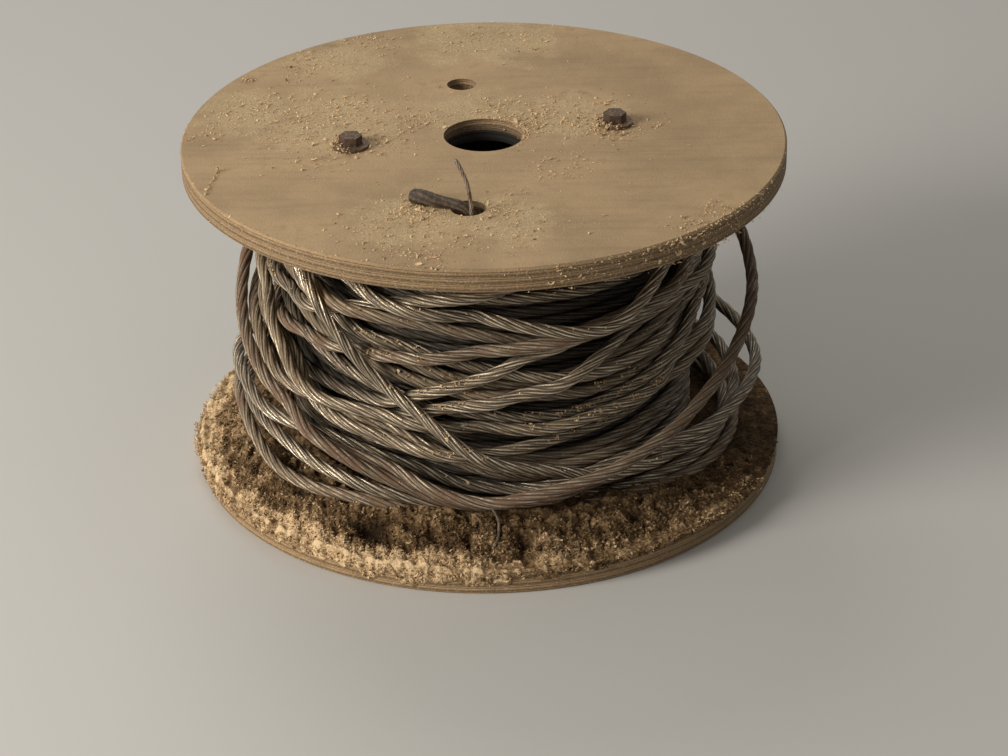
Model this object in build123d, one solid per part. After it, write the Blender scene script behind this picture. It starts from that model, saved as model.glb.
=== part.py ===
from build123d import *
import math
import os

# Wooden cable drum with a loosely wound steel wire rope, in millimetres.
# The drum stands on one flange: origin at the centre of its foot, Z up along the spindle axis,
# and the rope's exit hole on the -Y side.

# Flanges
flange_diameter = 300.0
flange_thickness = 12.0
flange_edge_chamfer = 1.0
flange_spacing = 150.0

# Holes in the flanges
spindle_bore_diameter = 40.0
drive_hole_diameter = 15.0
drive_hole_angle = 100.0
drive_hole_barrel_gap = 0.3
rope_hole_diameter = 17.0
rope_hole_angle = 265.0
rope_hole_barrel_gap = 0.5

# Barrel, a tube seated in a groove in each flange
barrel_diameter = 152.0
barrel_wall = 3.0
barrel_groove_depth = 3.0
barrel_seat_clearance = 0.1

# Two tie bolts that run inside the barrel
bolt_diameter = 6.0
bolt_barrel_gap = 3.5
bolt_line_angle = 10.0
bolt_head_across_flats = 10.0
bolt_head_height = 4.5
bolt_hole_clearance = 0.5
bolt_end_recess = 1.0
washer_diameter = 18.0
washer_thickness = 1.6
washer_bore_clearance = 0.2

# Tee nuts pressed into the foot of the lower flange
tee_nut_plate_diameter = 19.0
tee_nut_plate_thickness = 1.5
tee_nut_barrel_diameter = 8.4
tee_nut_barrel_length = 8.0
tee_nut_fit_clearance = 0.1
thread_clearance = 0.1

# Wire rope and its winding, which has slid down and stands out further at the foot
rope_diameter = 6.4
rope_sides = 6
winding_top_radius = 107.0
winding_foot_radius = 115.0
winding_bore_clearance = 0.2
winding_end_clearance = 0.3
wound_turn_pitch = 14.5
turn_relief = 1.8

# Loose turns that cross each other over the winding. Each station has its angle in degrees from the
# exit hole's side towards +X, its height as a share of the winding's, and how many ropes it stands off.
turn_clearance = 0.2
loose_turns = {
    "upper_turn": [
        (-185, 0.82, 0.0), (-152, 0.76, 0.0), (-120, 0.69, 0.0), (-88, 0.66, 0.0), (-56, 0.68, 0.0),
        (-26, 0.75, 0.0), (4, 0.85, 0.0), (34, 0.92, 0.0), (66, 0.94, 0.0), (98, 0.935, 0.0),
        (130, 0.92, 0.0), (158, 0.90, 0.0), (185, 0.88, 0.0),
    ],
    "steep_turn": [
        (-165, 0.79, 1.2), (-145, 0.85, 1.2), (-120, 0.91, 1.2), (-90, 0.93, 1.2), (-62, 0.89, 1.3),
        (-42, 0.76, 1.3), (-20, 0.48, 1.0), (0, 0.31, 0.5), (24, 0.20, 0.0), (52, 0.15, 0.0),
        (82, 0.14, 0.0), (112, 0.17, 0.0), (140, 0.23, 0.0), (165, 0.28, 0.0),
    ],
    "low_turn": [
        (-185, 0.36, 0.0), (-152, 0.33, 0.8), (-120, 0.31, 1.5), (-90, 0.30, 2.0), (-60, 0.29, 1.5),
        (-38, 0.25, 0.2), (-16, 0.17, 0.0), (4, 0.12, 0.0), (27, 0.16, 1.2), (50, 0.19, 1.5),
        (75, 0.23, 2.6), (95, 0.27, 3.5), (115, 0.31, 2.8), (150, 0.39, 1.0), (185, 0.45, 0.0),
    ],
    "wide_turn": [
        (-185, 0.63, 0.0), (-152, 0.62, 1.0), (-120, 0.61, 1.9), (-90, 0.54, 2.1), (-60, 0.38, 1.7),
        (-30, 0.22, 1.25), (2, 0.12, 1.15), (32, 0.28, 1.25), (60, 0.45, 2.6), (90, 0.56, 3.1),
        (120, 0.65, 2.0), (152, 0.69, 0.9), (185, 0.72, 0.0),
    ],
}

# The rope's inner end, swollen with old grease and bent over the exit hole's edge, and one strand
# of it that has sprung loose
rope_end_diameter = 8.0
rope_end_set_back = 3.5
rope_end_bend_radius = 12.0
rope_end_reach = 31.0
rope_end_direction = 162.0
rope_rest_clearance = 0.3
strand_diameter = 2.6
strand_sides = 6
strand_height = 27.0
strand_lean = 9.0
strand_bend_radius = 25.0

# Places that follow from the sizes above
top_flange_base = flange_thickness + flange_spacing
overall_height = top_flange_base + flange_thickness
barrel_radius = barrel_diameter / 2
barrel_bore_radius = barrel_radius - barrel_wall
bolt_circle_radius = barrel_bore_radius - bolt_barrel_gap - bolt_diameter / 2
drive_hole_radius = barrel_bore_radius - drive_hole_barrel_gap - drive_hole_diameter / 2
rope_hole_radius = barrel_radius + rope_hole_barrel_gap + rope_hole_diameter / 2
winding_base = flange_thickness + winding_end_clearance
winding_height = flange_spacing - 2 * winding_end_clearance
washer_top = overall_height + washer_thickness


def polar_point(radius, angle, height=0.0):
    """Point at a radius and an angle in degrees around the spindle axis."""
    turn = math.radians(angle)
    return Vector(radius * math.cos(turn), radius * math.sin(turn), height)


def upright_cylinder(diameter, base, top, centre=Vector(0, 0, 0)):
    """Solid cylinder with a vertical axis, from one height to another."""
    body = Cylinder(diameter / 2, top - base, align=(Align.CENTER, Align.CENTER, Align.MIN))
    return Pos(centre.X, centre.Y, base) * body


def upright_tube(outer_diameter, inner_diameter, base, top, centre=Vector(0, 0, 0)):
    """Ring or tube with a vertical axis."""
    outer = upright_cylinder(outer_diameter, base, top, centre)
    return outer - upright_cylinder(inner_diameter, base, top, centre)


bolt_centres = {
    "right": polar_point(bolt_circle_radius, bolt_line_angle),
    "left": polar_point(bolt_circle_radius, bolt_line_angle + 180.0),
}
drive_hole_centre = polar_point(drive_hole_radius, drive_hole_angle)
rope_hole_centre = polar_point(rope_hole_radius, rope_hole_angle)


def make_flange(base, groove_base, bolt_hole_diameter):
    """Plywood disc with worn edges, spindle bore, drive hole, bolt holes and barrel groove."""
    top = base + flange_thickness
    disc = upright_cylinder(flange_diameter, base, top)
    disc = chamfer(disc.edges(), flange_edge_chamfer)
    groove = upright_tube(
        barrel_diameter + 2 * barrel_seat_clearance,
        2 * barrel_bore_radius - 2 * barrel_seat_clearance,
        groove_base,
        groove_base + barrel_groove_depth,
    )
    flange = disc - groove
    flange -= upright_cylinder(spindle_bore_diameter, base, top)
    flange -= upright_cylinder(drive_hole_diameter, base, top, drive_hole_centre)
    for centre in bolt_centres.values():
        flange -= upright_cylinder(bolt_hole_diameter, base, top, centre)
    return flange


def make_bottom_flange():
    """Lower flange, with a shallow recess in its foot for the plate of each tee nut."""
    flange = make_flange(
        0.0,
        flange_thickness - barrel_groove_depth,
        tee_nut_barrel_diameter + 2 * tee_nut_fit_clearance,
    )
    recess_diameter = tee_nut_plate_diameter + 2 * tee_nut_fit_clearance
    for centre in bolt_centres.values():
        flange -= upright_cylinder(recess_diameter, 0.0, tee_nut_plate_thickness, centre)
    return flange


def make_top_flange():
    """Upper flange, with the hole through which the rope's inner end leaves the barrel."""
    flange = make_flange(top_flange_base, top_flange_base, bolt_diameter + 2 * bolt_hole_clearance)
    return flange - upright_cylinder(rope_hole_diameter, top_flange_base, overall_height, rope_hole_centre)


def make_barrel():
    """Tube that carries the winding and spaces the flanges."""
    return upright_tube(
        barrel_diameter,
        2 * barrel_bore_radius,
        flange_thickness - barrel_groove_depth,
        top_flange_base + barrel_groove_depth,
    )


def make_bolt(centre):
    """Hexagon bolt with its head on the upper flange."""
    shank = upright_cylinder(bolt_diameter, bolt_end_recess, washer_top, centre)
    hexagon = RegularPolygon(bolt_head_across_flats / 2, 6, major_radius=False)
    head = extrude(Pos(centre.X, centre.Y, washer_top) * hexagon, bolt_head_height)
    return shank + head


def make_washer(centre):
    """Flat washer under a bolt head."""
    hole_diameter = bolt_diameter + 2 * washer_bore_clearance
    return upright_tube(washer_diameter, hole_diameter, overall_height, washer_top, centre)


def make_tee_nut(centre):
    """Tee nut: a round plate flush with the foot and a threaded barrel in the wood."""
    plate = upright_cylinder(tee_nut_plate_diameter, 0.0, tee_nut_plate_thickness, centre)
    barrel_top = tee_nut_plate_thickness + tee_nut_barrel_length
    barrel = upright_cylinder(tee_nut_barrel_diameter, 0.0, barrel_top, centre)
    thread = upright_cylinder(bolt_diameter + 2 * thread_clearance, 0.0, barrel_top, centre)
    return plate + barrel - thread


def turn_outline(start, end, pitch):
    """Valleys and crowns of turns side by side from start to end, bulging right of that direction."""
    run = end - start
    turns = max(1, int(run.length // pitch))
    outward = Vector(run.Z, 0, -run.X).normalized() * turn_relief
    points = []
    for index in range(turns):
        points.append(start + run * (index / turns))
        points.append(start + run * ((index + 0.5) / turns) + outward)
    return points


def make_rope_winding():
    """Coil turned about the spindle axis: turns show on its ends, layer by layer, and outside."""
    bore_radius = barrel_radius + winding_bore_clearance
    low = winding_base + turn_relief
    high = winding_base + winding_height - turn_relief
    bore_low = Vector(bore_radius, 0, low)
    foot_corner = Vector(winding_foot_radius - turn_relief, 0, low)
    top_corner = Vector(winding_top_radius - turn_relief, 0, high)
    bore_high = Vector(bore_radius, 0, high)
    outline = turn_outline(bore_low, foot_corner, rope_diameter)
    outline += turn_outline(foot_corner, top_corner, wound_turn_pitch)
    outline += turn_outline(top_corner, bore_high, rope_diameter)
    outline.append(bore_high)
    return revolve(make_face(Polyline(*outline, close=True)), Axis.Z)


def rope_length(points, radii, diameter, sides):
    """Bar with a many-sided section along straight runs joined by tangent arcs."""
    path = FilletPolyline(*points, radius=radii)
    start_plane = Plane(origin=path @ 0, z_dir=path % 0)
    return sweep(start_plane * RegularPolygon(diameter / 2, sides), path)


def widest_radii(points):
    """For each corner, the arc that takes 0.45 of the shorter of its two runs."""
    radii = []
    for before, corner, after in zip(points, points[1:], points[2:]):
        turn = math.radians((corner - before).get_angle(after - corner))
        shorter = min((corner - before).length, (after - corner).length)
        radii.append(0.45 * shorter / math.tan(turn / 2))
    return radii


def make_loose_turn(stations):
    """One turn of rope that lies on the winding or stands off it, with its two ends side by side."""
    angles = [station[0] for station in stations]
    steps = [after - before for before, after in zip(angles, angles[1:])]
    points = []
    for index, (angle, share, ropes_off) in enumerate(stations):
        surface = winding_foot_radius + (winding_top_radius - winding_foot_radius) * share
        radius = surface + turn_clearance + rope_diameter / 2
        radius += ropes_off * (rope_diameter + turn_clearance)
        # The middle of a run between two stations lies nearer to the axis than they do.
        half_step = max(steps[max(index - 1, 0):index + 1]) / 2
        radius /= math.cos(math.radians(half_step))
        points.append(polar_point(radius, angle - 90.0, winding_base + share * winding_height))
    return rope_length(points, widest_radii(points), rope_diameter, rope_sides)


def make_rope_inner_end():
    """Rope that rises through the exit hole and is bent flat onto the upper flange."""
    along = polar_point(1.0, rope_end_direction)
    side = polar_point(1.0, rope_end_direction + 90.0)
    foot = rope_hole_centre - along * rope_end_set_back
    rest_height = overall_height + rope_end_diameter / 2 + rope_rest_clearance
    winding_top = winding_base + winding_height
    points = [
        Vector(foot.X, foot.Y, winding_top + rope_rest_clearance),
        Vector(foot.X, foot.Y, rest_height),
        rope_hole_centre + along * 0.55 * rope_end_reach + side * 1.5 + Vector(0, 0, rest_height),
        rope_hole_centre + along * rope_end_reach + Vector(0, 0, rest_height),
    ]
    radii = [rope_end_bend_radius, 3 * rope_end_diameter]
    return rope_length(points, radii, rope_end_diameter, rope_sides)


def make_loose_strand():
    """One strand beside the rope's end that has sprung up out of the exit hole."""
    along = polar_point(1.0, rope_end_direction)
    front = polar_point(1.0, rope_end_direction + 90.0)
    beside = (rope_end_diameter + strand_diameter) / 2 + rope_rest_clearance
    foot = rope_hole_centre - along * rope_end_set_back * 0.3 + front * beside
    low = winding_base + winding_height + rope_rest_clearance
    points = [
        foot + Vector(0, 0, low),
        foot + Vector(0, 0, overall_height + 0.3 * strand_height),
        foot + along * 0.35 * strand_lean + Vector(0, 0, overall_height + 0.65 * strand_height),
        foot + along * strand_lean + Vector(0, 0, overall_height + strand_height),
    ]
    return rope_length(points, [strand_bend_radius, strand_bend_radius], strand_diameter, strand_sides)


parts = {
    "bottom_flange": make_bottom_flange(),
    "top_flange": make_top_flange(),
    "barrel": make_barrel(),
    "rope_winding": make_rope_winding(),
    "rope_inner_end": make_rope_inner_end(),
    "loose_strand": make_loose_strand(),
}
for turn_name, turn_stations in loose_turns.items():
    parts[turn_name] = make_loose_turn(turn_stations)
for side_name, bolt_centre in bolt_centres.items():
    parts[f"{side_name}_bolt"] = make_bolt(bolt_centre)
    parts[f"{side_name}_washer"] = make_washer(bolt_centre)
    parts[f"{side_name}_tee_nut"] = make_tee_nut(bolt_centre)

os.makedirs("parts", exist_ok=True)
for name, solid in parts.items():
    export_step(solid, f"parts/{name}.step")
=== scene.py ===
"""Wooden cable drum with loosely wound steel wire rope, old sawdust and rusty hardware."""

import bpy
import numpy as np
from mathutils import Matrix, Vector


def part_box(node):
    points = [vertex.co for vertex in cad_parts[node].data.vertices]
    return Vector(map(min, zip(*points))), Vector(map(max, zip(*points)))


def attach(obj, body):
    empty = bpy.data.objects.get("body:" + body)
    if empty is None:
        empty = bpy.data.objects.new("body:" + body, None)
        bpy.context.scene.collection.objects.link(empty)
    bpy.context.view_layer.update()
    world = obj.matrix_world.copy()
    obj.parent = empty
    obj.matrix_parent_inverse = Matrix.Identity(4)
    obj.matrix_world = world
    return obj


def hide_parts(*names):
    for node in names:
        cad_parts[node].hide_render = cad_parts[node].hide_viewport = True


bl_info = {
    "name": "Cable Drum",
    "version": (1, 0, 0),
    "blender": (4, 5, 0),
    "location": "3D View > Sidebar > Cable Drum",
    "description": "Winds a dusty plywood cable drum with rusty wire rope",
    "category": "Object",
}

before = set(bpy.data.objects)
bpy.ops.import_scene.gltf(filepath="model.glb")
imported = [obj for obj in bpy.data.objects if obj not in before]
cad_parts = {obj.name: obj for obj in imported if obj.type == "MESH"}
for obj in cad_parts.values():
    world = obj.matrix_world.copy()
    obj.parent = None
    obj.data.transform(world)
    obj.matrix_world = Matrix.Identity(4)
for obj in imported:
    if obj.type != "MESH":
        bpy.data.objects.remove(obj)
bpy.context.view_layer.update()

# Shapes are worked out in millimetres in the frame of the drum and put into meshes in metres.
MM = 0.001
TAU = 2 * np.pi


def reach(node):
    """Lowest and highest corner of a node of the frame, in millimetres."""
    low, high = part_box(node)
    return np.array(low) / MM, np.array(high) / MM


FLANGE_RADIUS, _, DECK = reach("bottom_flange")[1]
CEILING, TOP = (corner[2] for corner in reach("top_flange"))
STRAND_TIP = reach("loose_strand")[1][2]
PLY_COUNT = 7

# The rope's surface is kept at half degrees round the drum and at half millimetres of height.
STEP = 0.5
COLUMNS = int(360 / STEP)

# Solids that stand for the wound rope in the frame.
WOUND_NODES = ("rope_winding", "upper_turn", "steep_turn", "low_turn", "wide_turn")

# Azimuths in degrees at which each turn's height is given: 0 is the side of the exit hole,
# and positive azimuths go towards +X.
STATIONS = np.arange(-105.0, 106.0, 15.0)
BACK_STATIONS = np.array([135, 165, 195, 225], float)

# Azimuths and heights at which the rope climbs from the neat coil to the first loose turn.
LEAD_IN = np.array([(-255, 17), (-225, 35), (-195, 75), (-165, 115), (-135, 138)], float)

# The turns from the inside out. Each has its height in millimetres at every station, rust, dust and
# polish from 0 to 1 (worn steel, and also the strength of the painted highlight on its strand crests), and
# the radius that it keeps at some stations where it stands off the others.
TURNS = [
    ([146, 148, 149, 149, 147, 143, 138, 134, 133, 132, 133, 138, 142, 146, 150], 0.15, 0.10, 0.5, {}),
    ([121, 120, 119, 117, 112, 102, 93, 89, 88, 90, 94, 99, 103, 105, 106], 0.20, 0.90, 0.1, {}),
    ([113, 111, 108, 104, 97, 91, 87, 84, 80, 78, 79, 84, 88, 91, 93], 0.20, 0.85, 0.1, {}),
    ([126, 126, 126, 123, 117, 108, 103, 97, 93, 90, 90, 93, 97, 100, 103], 0.20, 0.35, 0.3, {}),
    ([70, 68, 65, 62, 60, 59, 56, 46, 44, 46, 48, 50, 52, 54, 56], 0.30, 0.65, 0.1, {}),
    ([99, 97, 94, 90, 85, 80, 74, 71, 69, 69, 74, 82, 90, 96, 100], 0.20, 0.25, 0.3, {}),
    ([45, 44, 44, 46, 50, 54, 54, 43, 36, 32, 32, 33, 34, 36, 38], 0.25, 0.30, 0.3, {}),
    ([109, 110, 112, 115, 120, 126, 135, 139, 144, 149, 152, 153, 153, 152, 151], 0.15, 0.35, 0.5, {}),
    ([134, 136, 136, 133, 128, 123, 118, 114, 109, 111, 112, 114, 117, 121, 125], 0.40, 0.65, 0.2, {}),
    ([51, 52, 53, 56, 60, 66, 76, 82, 88, 98, 104, 109, 113, 115, 117], 0.25, 0.25, 0.3,
     {75: 113, 90: 114, 105: 113}),
    ([70, 69, 69, 70, 72, 76, 86, 96, 107, 113, 116, 117, 120, 124, 128], 0.20, 0.20, 0.4, {}),
    ([92, 92, 93, 95, 98, 101, 104, 108, 112, 115, 118, 122, 128, 132, 135], 0.50, 0.15, 0.3,
     {75: 112.5, 90: 113.5, 105: 113}),
    ([142, 144, 145, 144, 138, 132, 128, 125, 121, 119, 127, 134, 140, 144, 147], 0.15, 0.10, 0.8, {}),
    ([44, 44, 45, 43, 38, 33, 27, 23, 20, 19, 19, 21, 23, 25, 27], 0.15, 0.25, 0.7,
     {-105: 121, -90: 123, -75: 124, -60: 124, -45: 122, -30: 119, 60: 117, 75: 121, 90: 122, 105: 120}),
    ([44, 42, 39, 28, 26, 25, 20, 17, 17, 17, 17, 17, 17, 17, 17], 0.55, 0.55, 0.2,
     {-90: 128, -75: 128, -60: 127, -45: 127, 60: 122, 75: 126, 90: 127, 105: 124}),
    ([93, 88, 82, 72, 68, 64, 58, 50, 44, 42, 42, 44, 46, 48, 50], 0.30, 0.55, 0.4,
     {-105: 117, -90: 118, -75: 118, -60: 119}),
    ([98, 94, 89, 79, 68, 61, 58, 57, 57, 57, 60, 66, 72, 78, 83], 0.25, 0.50, 0.4,
     {-105: 112, -90: 113, -75: 113, 75: 113.5, 90: 114, 105: 113}),
    ([130, 114, 98, 81, 75, 70, 67, 65, 64, 67, 70, 74, 80, 86, 92], 0.20, 0.55, 0.7,
     {75: 113, 90: 114, 105: 113}),
    ([55, 56, 57, 55, 53, 45, 36, 31, 32, 38, 41, 42, 45, 47, 51], 0.20, 0.20, 0.9,
     {-105: 126, -90: 128, -75: 127, -60: 126, 60: 127, 75: 133, 90: 139, 105: 135}),
    ([154, 154, 152, 147, 131, 94, 74, 56, 45, 38, 36, 34, 35, 36, 38], 0.05, 0.10, 1.0,
     {60: 124, 75: 126, 90: 127, 105: 126}),
    ([82, 74, 66, 58, 52, 46, 38, 34, 39, 46, 58, 73, 88, 97, 110], 0.60, 0.15, 0.3,
     {-15: 117, 0: 121, 15: 124, 30: 127, 45: 130, 60: 133, 75: 135, 90: 135, 105: 133}),
    ([107, 92, 80, 69, 58, 44, 32, 24, 26, 29, 28, 26, 26, 28, 30], 0.60, 0.35, 0.3,
     {-105: 124, -90: 124.5, -75: 124.5, -60: 124.5}),
]


def measure(name, description, default, unit="LENGTH"):
    return bpy.props.FloatProperty(name=name, description=description, default=default, unit=unit)


def amount(name, description, default):
    return bpy.props.IntProperty(name=name, description=description, default=default)


def tint(name, description, default):
    return bpy.props.FloatVectorProperty(name=name, description=description, default=default, subtype="COLOR")


class RopeSettings(bpy.types.PropertyGroup):
    """Sizes and colours of the wire rope."""

    diameter: measure("Diameter", "Diameter over the strands", 0.0064)
    lay_length: measure("Lay length", "Length in which a strand goes once round the rope", 0.066)
    coil_radius: measure("Coil radius", "Radius of the neat coil under the loose turns", 0.095)
    steel: tint("Steel", "Colour of the greasy steel", (0.27, 0.21, 0.142))
    # Colour of the painted highlight along the strand crests, which also stands for worn steel.
    bright: tint("Bright steel", "Colour of rubbed strands", (0.95, 0.84, 0.66))
    rust: tint("Rust", "Colour of the rust", (0.17, 0.10, 0.06))
    dust: tint("Dust", "Colour of the dust on the rope", (0.33, 0.24, 0.14))


class WoodSettings(bpy.types.PropertyGroup):
    """Colours of the plywood."""

    face: tint("Face", "Colour of the plywood's face", (0.452, 0.31, 0.168))
    grime: tint("Grime", "Colour of grease and dirt in the wood", (0.20, 0.125, 0.065))
    edge: tint("Edge", "Colour of the plies on the rim", (0.305, 0.195, 0.098))


class SawdustSettings(bpy.types.PropertyGroup):
    """Amounts and colours of the sawdust."""

    grain_count: amount("Grains", "Number of grains on the heap", 11000)
    curl_count: amount("Shavings", "Number of curled shavings on the heap", 1700)
    top_count: amount("Grains on top", "Number of grains on the upper flange", 4200)
    fresh: tint("Fresh", "Colour of fresh sawdust", (0.74, 0.54, 0.32))
    # The old colour also carries the painted shade of the heap's low tones.
    old: tint("Old", "Colour of old, damp sawdust", (0.10, 0.058, 0.026))


class StageSettings(bpy.types.PropertyGroup):
    """Camera and lamps."""

    focal_length: measure("Focal length", "Focal length on a 36 mm sensor", 107.14, "CAMERA")
    lamp_power: measure("Lamp power", "Power of the large lamp on the left", 30.0, "POWER")


def smooth_step(t):
    """Share that rises from 0 to 1 with level ends, for t from 0 to 1."""
    return t * t * (3 - 2 * t)


def cubic(t, start, leave, stop, arrive):
    """Cubic curve from start to stop with the slopes leave and arrive there, for t from 0 to 1."""
    return (
        (2 * t**3 - 3 * t**2 + 1) * start + (t**3 - 2 * t**2 + t) * leave
        + (3 * t**2 - 2 * t**3) * stop + (t**3 - t**2) * arrive
    )


def smooth_noise(x, y, size, seed):
    """Noise from -1 to 1: random values on a square lattice of this size, joined by smooth steps."""
    cells = 256
    values = np.random.default_rng(seed).uniform(-1, 1, (cells, cells))
    across, up = x / size, y / size
    column, row = np.floor(across).astype(int), np.floor(up).astype(int)
    s, t = smooth_step(across - column), smooth_step(up - row)
    left, right = column % cells, (column + 1) % cells
    lower, upper = row % cells, (row + 1) % cells
    bottom = values[lower, left] * (1 - s) + values[lower, right] * s
    top = values[upper, left] * (1 - s) + values[upper, right] * s
    return bottom * (1 - t) + top * t


def rough_noise(x, y, size, seed, octaves=4):
    """Sum of smooth noises over 1.9, each half the size and 0.55 of the strength of the one before."""
    total = np.zeros(np.broadcast(x, y).shape)
    for octave in range(octaves):
        total += 0.55**octave * smooth_noise(x, y, size / 2**octave, seed + octave)
    return total / 1.9


def blur(values, spread):
    """Weighted mean along a row of values, with a bell curve of this spread in samples."""
    half = int(np.ceil(3 * spread))
    bell = np.exp(-0.5 * (np.arange(-half, half + 1) / spread) ** 2)
    padded = np.pad(values, half, mode="edge")
    return np.convolve(padded, bell / bell.sum(), mode="valid")


def by_azimuth(table, azimuth):
    """Value at an azimuth from a table of azimuths and values, joined by straight lines."""
    return np.interp((azimuth + 180) % 360 - 180, *np.transpose(table))


def new_mesh(name, points, face_sets, attributes=None, corner_uv=None, smooth=True):
    """Mesh from points in millimetres and arrays of faces, each array with one number of corners."""
    mesh = bpy.data.meshes.new(name)
    mesh.vertices.add(len(points))
    mesh.vertices.foreach_set("co", np.ascontiguousarray(points * MM, np.float32).ravel())
    corners = np.concatenate([faces.ravel() for faces in face_sets]).astype(np.int32)
    lengths = np.concatenate([np.full(len(faces), faces.shape[1]) for faces in face_sets])
    mesh.loops.add(len(corners))
    mesh.loops.foreach_set("vertex_index", corners)
    mesh.polygons.add(len(lengths))
    mesh.polygons.foreach_set("loop_start", np.concatenate([[0], np.cumsum(lengths)[:-1]]).astype(np.int32))
    mesh.polygons.foreach_set("use_smooth", np.full(len(lengths), smooth))
    for title, values in (attributes or {}).items():
        layer = mesh.attributes.new(title, "FLOAT", "POINT")
        layer.data.foreach_set("value", np.ascontiguousarray(values, np.float32))
    if corner_uv is not None:
        layer = mesh.uv_layers.new(name="along_and_round")
        layer.data.foreach_set("uv", np.ascontiguousarray(corner_uv, np.float32).ravel())
    mesh.update(calc_edges=True)
    if mesh.validate():
        raise RuntimeError(f"{name} had faces that are not valid")
    return mesh


def new_piece(name, mesh, material, replaced=()):
    """Object of the drum with its material, body and the nodes that it stands for."""
    piece = bpy.data.objects.new(name, mesh)
    bpy.context.collection.objects.link(piece)
    mesh.materials.append(material)
    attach(piece, "root")
    if replaced:
        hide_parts(*replaced)


def ring_faces(rows, columns, closed=False):
    """Quads between rings whose points lie ring by ring. If closed, they also join the last to the first."""
    row, column = np.meshgrid(np.arange(rows if closed else rows - 1), np.arange(columns), indexing="ij")
    here, beyond = row * columns, (row + 1) % rows * columns
    following = (column + 1) % columns
    return np.stack([here + column, here + following, beyond + following, beyond + column], -1).reshape(-1, 4)


class NodeDesk:
    """Nodes of a material or world, added by short calls. A value is a number, a colour or a socket."""

    def __init__(self, owner):
        owner.use_nodes = True
        self.owner, self.tree = owner, owner.node_tree

    def put(self, socket, value):
        if isinstance(value, bpy.types.NodeSocket):
            self.tree.links.new(value, socket)
        elif socket.type == "RGBA":
            socket.default_value = (*value, 1.0)
        else:
            socket.default_value = value

    def node(self, kind, inputs=None, output=0, **settings):
        """Add a node with these inputs and settings, and give one of its outputs."""
        node = self.tree.nodes.new(kind)
        for title, value in settings.items():
            setattr(node, title, value)
        for title, value in (inputs or {}).items():
            self.put(node.inputs[title], value)
        return node.outputs[output]

    def place(self):
        return self.node("ShaderNodeTexCoord", output="Object")

    def stretched(self, scale):
        return self.node("ShaderNodeMapping", {"Vector": self.place(), "Scale": scale})

    def noise(self, size, detail=3.0, roughness=0.55, vector=None):
        vector = self.place() if vector is None else vector
        inputs = {"Vector": vector, "Scale": 1 / (size * MM), "Detail": detail, "Roughness": roughness}
        return self.node("ShaderNodeTexNoise", inputs, "Fac")

    def cells(self, size):
        inputs = {"Vector": self.place(), "Scale": 1 / (size * MM)}
        return self.node("ShaderNodeTexVoronoi", inputs, "Distance")

    def maths(self, operation, first, second=0.0, third=0.0):
        return self.node("ShaderNodeMath", {0: first, 1: second, 2: third}, operation=operation)

    def times(self, first, second):
        return self.maths("MULTIPLY", first, second)

    def line(self, value, factor, offset):
        """The value times a factor, plus an offset."""
        return self.maths("MULTIPLY_ADD", value, factor, offset)

    def between(self, value, low, high):
        """0 where the value is below low, 1 above high, with a smooth step between."""
        inputs = {"Value": value, "From Min": low, "From Max": high}
        return self.node("ShaderNodeMapRange", inputs, "Result", interpolation_type="SMOOTHSTEP")

    def blend(self, factor, first, second):
        return self.node("ShaderNodeMix", {0: factor, 6: first, 7: second}, 2, data_type="RGBA")

    def value_of(self, attribute):
        return self.node("ShaderNodeAttribute", output="Fac", attribute_name=attribute)

    def part(self, vector, index):
        return self.node("ShaderNodeSeparateXYZ", {0: vector}, index)

    def axis(self, index):
        return self.part(self.place(), index)

    def facing_up(self):
        """The upward part of the surface's normal."""
        return self.part(self.node("ShaderNodeNewGeometry", output="Normal"), 2)

    def distance(self, x=0.0, y=0.0):
        """Level distance in metres from the drum's axis, or from a place in millimetres."""
        inputs = {0: self.stretched((1.0, 1.0, 0.0)), 1: (x * MM, y * MM, 0.0)}
        return self.node("ShaderNodeVectorMath", inputs, "Value", operation="DISTANCE")

    def bump(self, height, depth, strength=1.0, under=None):
        """Bump whose height of 0 to 1 is this many millimetres."""
        inputs = {"Height": height, "Distance": depth * MM, "Strength": strength}
        if under is not None:
            inputs["Normal"] = under
        return self.node("ShaderNodeBump", inputs, "Normal")

    def finish(self, colour, roughness, normal, metallic=0.0, specular=0.5):
        """Set the shader's own sockets and give the material."""
        sockets = self.tree.nodes["Principled BSDF"].inputs
        self.put(sockets["Base Color"], colour)
        self.put(sockets["Roughness"], roughness)
        self.put(sockets["Normal"], normal)
        self.put(sockets["Metallic"], metallic)
        self.put(sockets["Specular IOR Level"], specular)
        return self.owner


def new_desk(name):
    return NodeDesk(bpy.data.materials.new(name))


def shade(colour, factor):
    return [factor * part for part in colour]


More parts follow.
